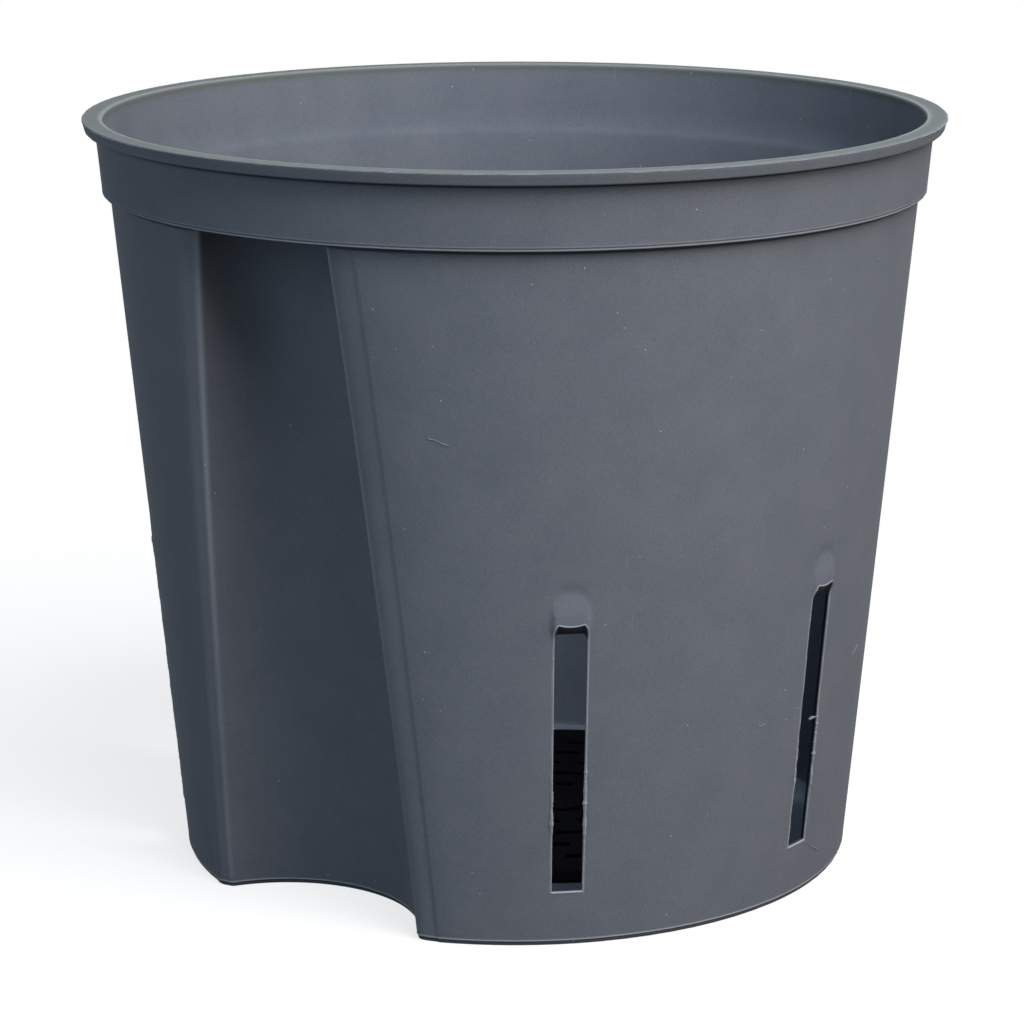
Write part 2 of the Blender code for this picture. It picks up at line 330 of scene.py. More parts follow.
pot = {"height": 190.0, "baseRadius": 86.1, "draft": 5.16, "wall": 1.3, "floor": 1.6,
       "shelf": 170.8, "collarFoot": 171.3, "collarStep": 1.9, "neck": 186.3,
       "rimOverhang": 2.6, "rimFlare": 0.7, "rimWidth": 5.2,
       "opening": 56.0, "openingOffset": 18.5, "panels": 5}
channel = {"depth": 24.2, "atBase": 34.2, "atTop": 19.2, "lipEdge": 0.8,
           "rollAtBase": 11.0, "rollAtTop": 16.0, "lipTurn": 24.0,
           "steps": 22, "edgeSteps": 6, "rollSteps": 14,
           # the band on each lip's roll: how proud it stands, where it begins and ends
           "leftBand": {"proud": 0.42, "begins": (0, 0.4), "ends": (0.55, 1)},
           "rightBand": {"proud": -0.30, "begins": (0, 0.75), "ends": (0.78, 1)}}
slot = {"sill": 13.77, "top": 82.33, "halfAtSill": 3.98, "halfAtTop": 4.22, "spacing": 45.0,
        "corner": (1.4, 3.0), "dip": 0.5, "dipDepth": 1.4, "dipHalf": 3.1,
        "innerSill": 13.9, "innerTop": 79.7, "innerHalf": 4.3,
        "bevel": 0.36, "innerBevel": 0.22, "innerInset": 0.15, "edgeWitness": 0.85,
        "bendsFrom": 10, "bendsTo": 99, "bendReach": 1.3}          # how the grid bends to it
blister = {"half": 5.0, "height": 9.9, "proud": 0.85, "recess": 0.42, "edge": 0.24,
           "slopeRange": (-0.1, 1.0), "within": (-0.4, 1.1),       # shares of its height
           "startRange": (78.5, 81.8),        # the heights over which it begins
           "frontLeft": 0.12}                 # its share over the front left slot, almost flat
slotTurn = math.radians(slot["spacing"])

# Columns of the grid beside a slot's middle, the slot's edge column among them, and how many
# steps the plain wall has from a lip to a slot and from a slot half way to the next
sides = [0, 0.6, 1.2, 1.75, 2.3, 2.65, 3.0, 3.35, 3.7, 4.0, 4.35, 4.8, 5.4, 6.2, 7.2, 8.4]
sides = [-s for s in sides[:0:-1]] + sides
slotEdge = 4.0
lipGapSteps, slotGapSteps = 5, 4

# Heights of the grid's rows
slotRows = [13.77, 14.6, 16, 19, 23, 28, 34, 40, 46, 52, 58, 64, 69, 73, 76, 78, 79.2, 80.0,
            80.63, 81.0, 81.4, 81.8, 82.1, 82.33]
blisterRows = [82.6, 82.9, 83.3, 83.8, 84.5, 85.2, 86, 86.8, 87.6, 88.4, 89.2, 90, 91, 92.3,
               94, 97]
upperRows = [102, 110, 120, 132, 144, 156, 164, 168, 170.2]

# The base edge outside and inside, as (height, inset): a bead runs round it, with a painted
# highlight along it and painted shade below it
baseEdge = [(0, 0.80), (0.06, 0.50), (0.20, 0.32), (0.42, 0.24), (0.80, 0.22), (1.08, 0.20),
            (1.16, 0.02), (1.28, -0.06), (1.46, -0.06), (1.6, 0), (1.9, 0), (3, 0), (6, 0),
            (9.5, 0), (12.4, 0), (13.4, 0)]
floorEdge = [(13.1, 1.3), (9, 1.3), (5, 1.3), (3, 1.3), (2.1, 1.3), (1.746, 1.446), (1.6, 1.8)]
baseBead = {"from": 1.1, "to": 1.5, "shadeBelow": 0.5}

# A slot's outer bevel as (share of the bevel, inset, edge line and painted highlight, painted
# shade), and the lower half of the floor opening's edge as (distance past the opening, height)
bevelRings = ((0.35, 0.03, 0.9, 0), (0.75, 0.10, 0.9, 0), (1, 0.30, 0.1, 0.8))
openingEdge = [(0.9, 0), (0.3, 0), (0.08, 0.09), (0, 0.3)]


def spread(start, end, steps):
    return [start + (end - start) * i / steps for i in range(steps + 1)]


def smooth(value, low, high):
    share = min(max((value - low) / (high - low), 0), 1)
    return share * share * (3 - 2 * share)


def wallRadius(z):
    return pot["baseRadius"] + z * math.tan(math.radians(pot["draft"]))


def along(z, start, end):                     # a size that changes evenly up the wall
    return start + (end - start) * z / pot["shelf"]


def bearing(angle, radius):                   # counted from -Y towards +X
    return radius * math.sin(angle), -radius * math.cos(angle)


def arc(centre, radius, turns):
    return [(centre[0] + radius * math.sin(t), centre[1] - radius * math.cos(t)) for t in turns]


def lip(z):                                   # centres of the lip's two arcs, and where they end
    turn = math.radians(channel["lipTurn"])
    radius = wallRadius(z)
    edge = channel["lipEdge"] + pot["wall"]
    roll = along(z, channel["rollAtBase"], channel["rollAtTop"]) + pot["wall"]
    ahead = (radius - roll) + (roll - edge) * math.cos(turn)
    across = (roll - edge) * math.sin(turn)
    reach = math.hypot(ahead, across)
    groove = along(z, channel["atBase"], channel["atTop"])
    centre = radius - channel["depth"] + groove
    touch = groove + edge
    edgeAngle = math.acos((reach**2 + centre**2 - touch**2) / (2 * reach * centre))
    rollAngle = edgeAngle + math.atan2(across, ahead)
    return bearing(edgeAngle, reach), bearing(rollAngle, radius - roll), rollAngle


def channelHalf(z, inset, hand):              # from the channel's middle to the end of its lip
    edgeCentre, rollCentre, rollAngle = lip(z)
    groove = along(z, channel["atBase"], channel["atTop"])
    roll = along(z, channel["rollAtBase"], channel["rollAtTop"])
    middle = (0, -(wallRadius(z) - channel["depth"] + groove))
    grooveTurn = math.atan2(edgeCentre[0], edgeCentre[1] - middle[1])
    edgeEnd = rollAngle - math.radians(channel["lipTurn"])
    half = arc(middle, groove + inset,
               [math.pi - t for t in spread(0, grooveTurn, channel["steps"])])
    half += arc(edgeCentre, channel["lipEdge"] + pot["wall"] - inset,
                spread(-grooveTurn, edgeEnd, channel["edgeSteps"])[1:])
    band = channel["leftBand"] if hand < 0 else channel["rightBand"]
    for share in spread(0, 1, channel["rollSteps"])[1:]:
        proud = band["proud"] * smooth(share, *band["begins"]) * (1 - smooth(share, *band["ends"]))
        half += arc(rollCentre, roll + pot["wall"] - inset + proud,
                    [edgeEnd + (rollAngle - edgeEnd) * share])
    return half


def slotHalf(z, inner):
    if inner:
        return slot["innerHalf"]
    share = (z - slot["sill"]) / (slot["top"] - slot["sill"])
    return slot["halfAtSill"] + (slot["halfAtTop"] - slot["halfAtSill"]) * share


def shaped(side, z, inner=False):             # a grid point moved towards the slot's outline
    low = slot["innerSill"] if inner else slot["sill"]
    high = slot["innerTop"] if inner else slot["top"]
    nearSide = min(max(side, -slotEdge), slotEdge)
    nearZ = min(max(z, low), high)
    half = slotHalf(nearZ, inner)
    across, down = slot["corner"]
    outlineSide = nearSide / slotEdge * half
    outlineZ = nearZ
    fromSide = half - abs(outlineSide)        # how far in from the corner, both ways
    fromTop = high - nearZ
    if min(fromSide, fromTop) < 1e-6 and fromSide < across and fromTop < down:
        turn = (1 - fromTop / down + fromSide / across) * math.pi / 4
        outlineSide = math.copysign(half - across + across * math.cos(turn), side)
        outlineZ = high - down + down * math.sin(turn)
    if not inner:
        dip = slot["dip"] * smooth(outlineZ, high - slot["dipDepth"], high)
        outlineZ -= dip * max(0, 1 - (outlineSide / slot["dipHalf"]) ** 2)
    away = math.hypot(side - nearSide, z - nearZ)
    share = math.exp(-((away / slot["bendReach"]) ** 2))
    return side + (outlineSide - nearSide) * share, z + (outlineZ - nearZ) * share


def bulge(side, z, hand=1):                   # the blister over a slot: proud below, sunk above
    lowest, highest = blister["within"]
    rise = (z - slot["top"]) / blister["height"]
    if rise < lowest or rise > highest:
        return 0.0
    out = (abs(side / blister["half"]) ** 3 + max(rise, 0) ** 3) ** (1 / 3)
    drop = (blister["proud"] + blister["recess"]) * smooth(rise, *blister["slopeRange"])
    within = 1 - smooth(out, 1 - blister["edge"], 1)
    share = blister["frontLeft"] if hand < 0 else 1
    return (blister["proud"] - drop) * within * smooth(z, *blister["startRange"]) * share


def onWall(side, z, inset, middle, proud=0.0):                     # beside a slot's middle line
    radius = wallRadius(z) - inset
    ahead = math.sqrt(radius**2 - side**2) + proud
    angle = middle + math.atan2(side, ahead)
    x, y = bearing(angle, math.hypot(side, ahead))
    return x, y, z


def patchEdge(z):                             # bearing of a patch's last column, from its middle
    return math.asin(sides[-1] / wallRadius(z))


def pastPatch(z):                             # bearings on from there, half way to the next slot
    return spread(patchEdge(z), slotTurn / 2, slotGapSteps)[1:]


# A row is (kind, z, inset or radius, height, edge line and painted highlight, painted shade on the
# rim's top, painted shade in creases and under overhangs): "wall" follows the channel, "round" is
# a plain circle, and "inner" is a wall row on the pot's inside

def level(row):                               # the height whose bearings the row's columns have
    return pot["shelf"] if row[0] == "round" else row[1]


def patch(row, middle, hand=1):               # the columns round one slot
    kind, z, inset, height = row[:4]
    inner = kind == "inner"
    points = []
    for side in sides:
        if kind == "round":
            angle = middle + math.asin(side / wallRadius(level(row)))
            points.append((*bearing(angle, inset), height))
        elif slot["bendsFrom"] < z < slot["bendsTo"]:
            movedSide, movedZ = shaped(side, z, inner)
            proud = 0 if inner else bulge(movedSide, movedZ, hand)
            points.append(onWall(movedSide, movedZ, inset, middle, proud))
        else:
            x, y, _ = onWall(side, z, inset, middle)
            points.append((x, y, height))
    return points


def plainWall(row, angles):
    kind, z, inset, height = row[:4]
    radius = inset if kind == "round" else wallRadius(z) - inset
    return [(*bearing(angle, radius), height) for angle in angles]


def frontHalf(row, hand):                     # from the channel's middle past one slot
    kind, z, inset, height = row[:4]
    lipEnd = lip(level(row))[2]
    if kind == "round":
        count = channel["steps"] + channel["edgeSteps"] + channel["rollSteps"]
        half = arc((0, 0), inset, spread(0, lipEnd, count))
    else:
        half = channelHalf(z, inset, hand)
    before = spread(lipEnd, slotTurn - patchEdge(level(row)), lipGapSteps)[1:-1]
    after = [slotTurn + angle for angle in pastPatch(level(row))]
    half = ([(*point, height) for point in half] + plainWall(row, before)
            + patch(row, slotTurn, hand) + plainWall(row, after))
    return [(x * hand, y, h) for x, y, h in half]


def frontRow(row):                            # channel, and a slot on each side of it
    return frontHalf(row, -1)[:0:-1] + frontHalf(row, 1)


def panelRow(row):                            # one slot, half way to the next on each side
    angles = pastPatch(level(row))
    return (plainWall(row, [-a for a in reversed(angles)]) + patch(row, 0)
            + plainWall(row, angles))


def innerHeight(z):                           # inside, the slot's ceiling lies lower
    last = blisterRows[-1]
    if z >= last:
        return z
    if z <= slot["top"]:
        share = (z - slot["sill"]) / (slot["top"] - slot["sill"])
        return slot["innerSill"] + share * (slot["innerTop"] - slot["innerSill"])
    share = (z - slot["top"]) / (last - slot["top"])
    return slot["innerTop"] + share * (last - slot["innerTop"])


def wallRows():
    foot = wallRadius(pot["collarFoot"]) + pot["collarStep"]
    neck = wallRadius(pot["neck"]) + pot["collarStep"]
    rim = neck + pot["rimOverhang"] + pot["rimFlare"]
    mouth = rim - pot["rimWidth"]
    top = pot["height"]
    rows = []
    for z, inset in baseEdge:
        # the bead's light line is a painted highlight, the band below it painted shade
        witness = 1 if baseBead["from"] < z < baseBead["to"] else 0
        cut = baseBead["shadeBelow"] if z < baseBead["from"] else 0
        rows.append(("wall", z, inset, z, witness, 0, cut))
    rows += [("wall", z, 0, z, 0, 0, 0) for z in slotRows + blisterRows + upperRows]
    # painted shade under the collar's overhang
    rows += [("wall", pot["shelf"], 0.05, pot["shelf"] - 0.2, 0, 0, 0.3),
             ("wall", pot["shelf"], 0, pot["shelf"], 0, 0, 0.9)]
    # (radius, height, edge line and painted highlight, painted shade on the rim's top, painted
    # shade): the collar's foot with a bead and a groove, the collar, the soft underside of the
    # rim, its edge and top, and down inside the collar. Light lines on the bead and the rim's
    # edges are painted highlights; dark bands under the foot, in the groove and under the rim are
    # painted shade.
    rows += [("round", 0, *values) for values in (
        (foot - 0.30, 171.58, 0, 0, 0.9), (foot - 0.04, 171.64, 0, 0, 0.6),
        (foot + 0.03, 171.76, 0.15, 0, 0), (foot + 0.05, 171.86, 0.34, 0, 0),
        (foot + 0.05, 172.0, 0.30, 0, 0), (foot - 0.06, 172.14, 0, 0, 0.3),
        (foot - 0.06, 172.26, 0, 0, 0.3), (foot + 0.06, 172.4, 0.2, 0, 0),
        (foot + 0.10, 172.62, 0.34, 0, 0), (foot + 0.10, 172.8, 0, 0, 0),
        (foot + 0.14, 173.3, 0, 0, 0), (foot + 0.4, 176.2, 0, 0, 0), (foot + 0.8, 180.8, 0, 0, 0),
        (neck - 0.10, 185.4, 0, 0, 0), (neck - 0.05, 185.85, 0, 0, 0.05),
        (neck - 0.02, 186.1, 0, 0, 0.3), (neck, 186.3, 0, 0, 0.8),
        (neck + 0.25, 186.62, 0, 0, 0.9),
        (rim - 1.5, 186.9, 0, 0, 0.8), (rim - 0.95, 186.98, 0, 0, 0.4),
        (rim - 0.78, 187.14, 0, 0, 0), (rim - 0.68, 187.35, 0.08, 0, 0),
        (rim - 0.3, 188.8, 0, 0, 0), (rim - 0.08, top - 0.5, 0, 0.1, 0),
        (rim - 0.07, top - 0.22, 0.2, 0.5, 0), (rim - 0.25, top - 0.03, 0.2, 0.8, 0),
        (rim - 0.6, top, 0.08, 0.8, 0), (rim - 0.9, top - 0.01, 0, 0.7, 0),
        (rim - 2.4, top - 0.05, 0, 0.8, 0), (mouth + 2.0, top - 0.10, 0.04, 1, 0),
        (mouth + 1.3, top - 0.06, 0.12, 1, 0), (mouth + 0.8, top - 0.02, 0.4, 1, 0),
        (mouth + 0.3, top - 0.10, 0.5, 1, 0), (mouth + 0.08, top - 0.36, 0.3, 1, 0),
        (mouth, top - 0.7, 0.05, 1, 0), (mouth - 0.04, top - 1.3, 0, 0.9, 0),
        (mouth - 0.08, top - 1.9, 0, 0.2, 0), (mouth - 0.14, 187, 0, 0, 0),
        (foot - 1.5, 181, 0, 0, 0), (foot - 1.62, 178.5, 0, 0, 0), (foot - 1.85, 176.5, 0, 0, 0),
        (foot - 2.1, 174.8, 0, 0, 0), (foot - 2.4, 173.2, 0, 0, 0))]
    rows += [("inner", pot["shelf"], inset, z, 0, 0, 0) for inset, z in
             ((0.75, 172.2), (1.0, 171.5), (1.15, 170.9), (1.25, 170.3))]
    inner = [innerHeight(z) for z in reversed(slotRows + blisterRows + upperRows[:-1])]
    rows += [("inner", z, pot["wall"], z, 0, 0, 0) for z in inner]
    rows += [("inner", z, inset, z, 0, 0, 0) for z, inset in floorEdge]
    return rows


def addRing(points, marks, ring, witness=0, cut=0):                # new points with their marks
    start = len(points)
    points += ring
    for name, value in (("witness", witness), ("rimTop", 0), ("cut", cut)):
        marks[name] += [value] * len(ring)
    return range(start, len(points))


def bridge(rings):                            # the faces from each closed ring to the next
    faces = []
    for near, far in zip(rings, rings[1:]):
        for this in range(len(near)):
            after = (this + 1) % len(near)
            faces.append((near[this], near[after], far[after], far[this]))
    return faces


def movedIn(flat, distance):                  # a closed outline moved in, its corners kept sharp
    moved = []
    for number, (side, z) in enumerate(flat):
        before, after = flat[number - 1], flat[(number + 1) % len(flat)]
        a = Vector((side - before[0], z - before[1])).normalized()
        b = Vector((after[0] - side, after[1] - z)).normalized()
        turned = Vector((-a.y - b.y, a.x + b.x)) / (1 + a.dot(b))
        moved.append((side + turned.x * distance, z + turned.y * distance))
    return moved


def addHole(grid, points, faces, marks, firstSide, middle):
    # The tunnel of one slot, ring by ring, between the holes in the outer and inner walls. Its
    # outline and bevel get a painted highlight, the bevel's foot and the tunnel painted shade.
    outerSill = len(baseEdge)
    innerSill = len(rows) - len(floorEdge) - 1
    top = len(slotRows) - 1
    left, right = sides.index(-slotEdge), sides.index(slotEdge)
    loop = ([(0, j) for j in range(left, right + 1)] + [(i, right) for i in range(1, top + 1)]
            + [(top, j) for j in range(right - 1, left - 1, -1)]
            + [(i, left) for i in range(top - 1, 0, -1)])
    outer = [grid[outerSill + i][firstSide + j] for i, j in loop]
    inner = [grid[innerSill - i][firstSide + j] for i, j in loop]
    flatOuter = [shaped(sides[j], slotRows[i]) for i, j in loop]
    flatInner = [shaped(sides[j], innerHeight(slotRows[i]), True) for i, j in loop]
    hand = -1 if middle < 0 else 1
    # the slot's outline: a lighter edge line, a painted highlight
    for index in outer:
        marks["witness"][index] = slot["edgeWitness"]
    rings = [outer]
    for share, inset, witness, cut in bevelRings:
        ring = [onWall(side, z, inset, middle, bulge(side, z, hand))
                for side, z in movedIn(flatOuter, slot["bevel"] * share)]
        rings.append(addRing(points, marks, ring, witness, cut))
    # the tunnel's inner ring, in painted shade
    ring = [onWall(side, z, pot["wall"] - slot["innerInset"], middle)
            for side, z in movedIn(flatInner, slot["innerBevel"])]
    rings += [addRing(points, marks, ring, 0, 1), inner]
    faces += bridge(rings)


# A lighter line down each lip's edge, left and right: where across the lip's edge it lies, how
# strong it is, and the heights over which it grows
lipMark = {"crest": (0.5, 0.66), "strength": (0.5, 0.62), "width": 0.42, "from": 2,
           "least": 0.4, "growRange": (40, 110)}


def lipLine(row, column):
    if row[0] != "wall" or row[1] < lipMark["from"]:
        return 0.0
    right = column > 0
    share = (abs(column) - channel["steps"]) / channel["edgeSteps"]
    near = max(0, 1 - abs(share - lipMark["crest"][right]) / lipMark["width"])
    grown = lipMark["least"] + (1 - lipMark["least"]) * smooth(row[1], *lipMark["growRange"])
    return lipMark["strength"][right] * near * grown


def wallSheet(makeRow, holes, lips=False):    # a grid of rows, with the slots' tunnels let in
    lines = [makeRow(row) for row in rows]
    columns = len(lines[0])
    points = [point for line in lines for point in line]
    centre = (columns - 1) // 2
    marks = {"witness": [row[4] + (lipLine(row, c - centre) if lips else 0)
                         for row in rows for c in range(columns)],
             "rimTop": [row[5] for row in rows for _ in range(columns)],
             "cut": [row[6] for row in rows for _ in range(columns)]}
    grid = [[r * columns + c for c in range(columns)] for r in range(len(rows))]
    outerSill, innerTop = len(baseEdge), len(rows) - len(floorEdge) - len(slotRows)
    tall = len(slotRows) - 1
    left, right = sides.index(-slotEdge), sides.index(slotEdge)
    faces = []
    for r in range(len(rows) - 1):
        besideSlots = outerSill <= r < outerSill + tall or innerTop <= r < innerTop + tall
        for c in range(columns - 1):
            if besideSlots and any(first + left <= c < first + right for first, _ in holes):
                continue
            faces.append((grid[r][c], grid[r][c + 1], grid[r + 1][c + 1], grid[r + 1][c]))
    for firstSide, middle in holes:
        addHole(grid, points, faces, marks, firstSide, middle)
    return points, faces, marks


def addFloor(points, faces, marks, underRing, topRing):
    # The floor, from the base edge to the round opening and back over its top
    offset, leastTurn = pot["openingOffset"], 0.0004
    turns, latest = [], -math.inf
    for x, y, _ in underRing:
        turn = math.atan2(x, -(y - offset))
        if turn < latest - math.pi:           # past the back, where the angle starts again
            turn += 2 * math.pi
        latest = max(latest + leastTurn, turn)
        turns.append(latest)
    edge = openingEdge + [(out, pot["floor"] - z) for out, z in reversed(openingEdge)]
    rings = [[(x, y, z) for x, y in arc((0, offset), pot["opening"] + out, turns)]
             for out, z in edge]
    rings = [addRing(points, marks, ring) for ring in (underRing, *rings, topRing)]
    faces += bridge(rings)


rows = wallRows()
rightPatch = len(frontRow(rows[0])) - slotGapSteps - len(sides)
front = wallSheet(frontRow, ((rightPatch, slotTurn), (slotGapSteps, -slotTurn)), True)


def fullRing(row):                            # once round the pot, as the panels will lie
    ring = frontRow(row)[:-1]
    for number in range(pot["panels"]):
        spun = Matrix.Rotation(slotTurn * (number + 2), 3, "Z")    # the first at two slots' turn
        ring += [tuple(spun @ Vector(point)) for point in panelRow(row)[:-1]]
    return ring


addFloor(*front, fullRing(rows[0]), fullRing(rows[-1]))
potPiece = makePiece("pot_shell", *front)
panel = makePiece("wall_panel", *wallSheet(panelRow, ((slotGapSteps, 0.0),)))


def panelTree():                              # the same panel set round the rest of the pot
    bench, given = geometryTree("panels_round_the_pot", {
        "Panel": ("Object", None), "Panels": ("Int", 5), "First turn": ("Float", 1.57),
        "Turn between": ("Float", 0.785), "Material": ("Material", None)})
    shape = bench.node("GeometryNodeObjectInfo", None, {"Object": given["Panel"]},
                       output="Geometry")
    copies = turnedCopies(bench, shape, given["Panels"], given["First turn"],
                          given["Turn between"])
    joined = bench.node("GeometryNodeJoinGeometry", None,
                        {"Geometry": [given["Geometry"], copies]})
    endTree(bench, joined, given["Material"])
    return bench.tree


bake(potPiece, panelTree(), {"Panel": panel, "Panels": pot["panels"], "First turn": 2 * slotTurn,
                             "Turn between": slotTurn, "Material": slatePlastic})
bpy.data.objects.remove(panel)
print("pot made:", len(potPiece.data.polygons), "faces")


# The flash left along the mould's parting edges: the rim's outer edge and each slot's outline, and
# a few hairline marks of handling. Their lighter colour is whitening with a painted highlight on
# the flash, whitening alone on the hairlines.

flash = {"rim": {"Thickness": 0.10 * mm, "Wander": 0.14 * mm, "Spacing": 0.4 * mm,
                 "Whitening and highlight": 0.4, "Torn reach": 40 * mm,
                 "Torn place": (0.095, 0.045, 0.19)},
         "slots": {"Thickness": 0.19 * mm, "Wander": 0.08 * mm, "Spacing": 0.22 * mm,
                   "Whitening and highlight": 0.7, "Torn reach": 14 * mm,
                   "Torn place": (0.004, -0.087, 0.036)},
         "hairlines": {"Thickness": 0.15 * mm, "Wander": 0.08 * mm, "Spacing": 0.3 * mm,
                       "Whitening and highlight": 0.3, "Torn reach": 3 * mm, "Torn place": (0.09, 0, 0.047)}}
flashPath = {"rimIn": 0.18, "rimDown": 0.37, "rimPoints": 720,     # millimetres from the edge
             "slotShare": 0.985, "slotInset": 0.02}

# The bead's noises as (size in millimetres, detail, roughness), their share in its thickness,
# and how much thicker and further off its path it gets at the torn place
beadForm = {"fine": (1.1, 3.0, 0.7), "fineRange": (0.45, 0.75), "fineShare": 0.7,
            "broad": (5.0, 2.0, 0.5), "broadRange": (0.36, 0.62), "broadShare": 0.5,
            "least": 0.55, "path": (3.2, 3.0, 0.5),
            "tornRange": (0.5, 1.0), "tornThickness": 1.1, "tornWander": 3.5, "sides": 5}


def flashTree():                              # an uneven bead along an edge, and its copies
    bench, given = geometryTree("flash_along_an_edge", {
        "Thickness": ("Float", 0.0001), "Wander": ("Float", 0.0001),
        "Spacing": ("Float", 0.0003), "Whitening and highlight": ("Float", 0.0),
        "Torn place": ("Vector", None), "Torn reach": ("Float", 0.01), "Copies": ("Int", 1),
        "First turn": ("Float", 0.0), "Turn between": ("Float", 0.0),
        "Material": ("Material", None)})
    path = bench.node("GeometryNodeMeshToCurve", None, {"Mesh": given["Geometry"]})
    path = bench.node("GeometryNodeResampleCurve", {"mode": "LENGTH"},
                      {"Curve": path, "Length": given["Spacing"]})
    place = bench.node("GeometryNodeInputPosition")
    fine = bench.step(bench.noise(place, *beadForm["fine"]), *beadForm["fineRange"])
    broad = bench.step(bench.noise(place, *beadForm["broad"]), *beadForm["broadRange"])
    far = bench.node("ShaderNodeVectorMath", {"operation": "DISTANCE"},
                     {0: place, 1: given["Torn place"]}, output="Value")
    torn = 1 - bench.step(far / given["Torn reach"], *beadForm["tornRange"])
    away = bench.node("ShaderNodeVectorMath", {"operation": "SUBTRACT"},
                      {0: bench.noise(place, *beadForm["path"])["Color"], 1: (0.5, 0.5, 0.5)})
    wander = given["Wander"] * (torn * beadForm["tornWander"] + 1)
    away = bench.node("ShaderNodeVectorMath", {"operation": "SCALE"}, {0: away, "Scale": wander})
    path = bench.node("GeometryNodeSetPosition", None, {"Geometry": path, "Offset": away})
    size = broad * beadForm["broadShare"] + fine * beadForm["fineShare"] + beadForm["least"]
    size = size * (torn * beadForm["tornThickness"] + 1)
    outline = bench.node("GeometryNodeCurvePrimitiveCircle", None,
                         {"Resolution": beadForm["sides"], "Radius": 1.0})
    bead = bench.node("GeometryNodeCurveToMesh", None,
                      {"Curve": path, "Profile Curve": outline, "Fill Caps": True,
                       "Scale": size * given["Thickness"]})
    # the bead's lighter colour: whitening, with a painted highlight
    bead = bench.node("GeometryNodeStoreNamedAttribute", {"data_type": "FLOAT"},
                      {"Geometry": bead, "Name": "witness", "Value": given["Whitening and highlight"]})
    copies = turnedCopies(bench, bead, given["Copies"], given["First turn"],
                          given["Turn between"])
    endTree(bench, copies, given["Material"])
    return bench.tree


def lineWork(name, lines, closed=True):       # edges only, for the tree to follow
    points, edges = [], []
    for line in lines:
        start = len(points)
        points += line
        edges += [(start + i, start + i + 1) for i in range(len(line) - 1)]
        if closed:
            edges.append((len(points) - 1, start))
    return makePiece(name, points, [], None, edges)


flashRun = flashTree()
rimRadius = wallRadius(pot["neck"]) + pot["collarStep"] + pot["rimOverhang"] + pot["rimFlare"]
rimFlash = lineWork("rim_flash", [[
    (*bearing(turn, rimRadius - flashPath["rimIn"]), pot["height"] - flashPath["rimDown"])
    for turn in spread(0, 2 * math.pi, flashPath["rimPoints"])[:-1]]])
bake(rimFlash, flashRun, {**flash["rim"], "Copies": 1, "Material": slatePlastic})

# A slot's outline, once round: sill, right edge, top, left edge
slotOutline = [(side, slot["sill"]) for side in sides if abs(side) <= slotEdge]
slotOutline += [(slotEdge, z) for z in slotRows[1:]]
slotOutline += [(side, slot["top"]) for side in reversed(sides) if abs(side) < slotEdge]
slotOutline += [(-slotEdge, z) for z in reversed(slotRows[1:])]
slotOutline = [shaped(side, z) for side, z in slotOutline]


def slotPath(middle, hand):
    return [onWall(side * flashPath["slotShare"], z, flashPath["slotInset"], middle,
                   bulge(side, z, hand)) for side, z in slotOutline]


slotFlash = lineWork("slot_flash", [slotPath(0, 1)])
bake(slotFlash, flashRun, {**flash["slots"], "Copies": pot["panels"] + 1,
                           "Material": slatePlastic, "First turn": slotTurn,
                           "Turn between": slotTurn})
leftFlash = lineWork("slot_flash_front_left", [slotPath(-slotTurn, -1)])
bake(leftFlash, flashRun, {**flash["slots"], "Copies": 1, "Material": slatePlastic})

# Hairline marks on the wall, and a tongue of flash across one slot: (bearing, height) along each
hairPaths = [[(92.56, 13.2), (94.9, 11.2), (97.96, 8.6)], [(77.5, 51.4), (77.26, 49.7)],
             [(77.3, 49.7), (79.0, 49.9)], [(92.55, 46.7), (90.9, 47.0), (89.9, 47.0)],
             [(25.2, 127.2), (26.3, 126.9), (27.1, 126.2), (28.0, 125.7)],
             [(104.6, 57.6), (107.1, 59.1)]]
hairlines = lineWork("hairlines", [[(*bearing(math.radians(angle), wallRadius(z)), z)
                                    for angle, z in line] for line in hairPaths], False)
bake(hairlines, flashRun, {**flash["hairlines"], "Copies": 1, "Material": slatePlastic})
print("flash made")


# The strainer: a plate with a short spigot, cut by rings of curved slots

strainer = {"radius": 62.0, "foot": 1.9, "top": 3.4, "edge": 4.0, "edgeRound": 0.2,
            "rimThickness": 0.55, "topRound": 0.6,
            "spigot": 55.5, "spigotWall": 1.6, "spigotFoot": 0.9, "spigotRound": 0.15,
            "firstRing": 11.0, "ringPitch": 9.0, "rings": 5, "slotWidth": 2.6, "bar": 5.0,
            "slotsAdded": 4, "steps": 144}


def strainerPlate(values):
    foot, top, outer, soft = [values[name] for name in ("foot", "top", "radius", "edgeRound")]
    spigot, low, small = [values[name] for name in ("spigot", "spigotFoot", "spigotRound")]
    inside = spigot - values["spigotWall"]
    flat = outer - values["edge"]
    profile = [(inside, foot), (inside, low + small), (inside + small, low),
               (spigot - small, low), (spigot, low + small), (spigot, foot),
               (outer - soft, foot), (outer, foot + soft), (outer, foot + 2 * soft),
               (outer - soft, foot + values["rimThickness"]), (flat, top),
               (flat - values["topRound"], top)]
    turns = spread(0, 2 * math.pi, values["steps"])[:-1]
    wide = len(turns)
    points = [(x, y, z) for r, z in profile for x, y in arc((0, pot["openingOffset"]), r, turns)]
    rings = [tuple(range(r * wide, (r + 1) * wide)) for r in range(len(profile))]
    piece = makePiece("strainer_plate", points, [rings[0], rings[-1]] + bridge(rings))
    finishMesh(piece)
    return piece


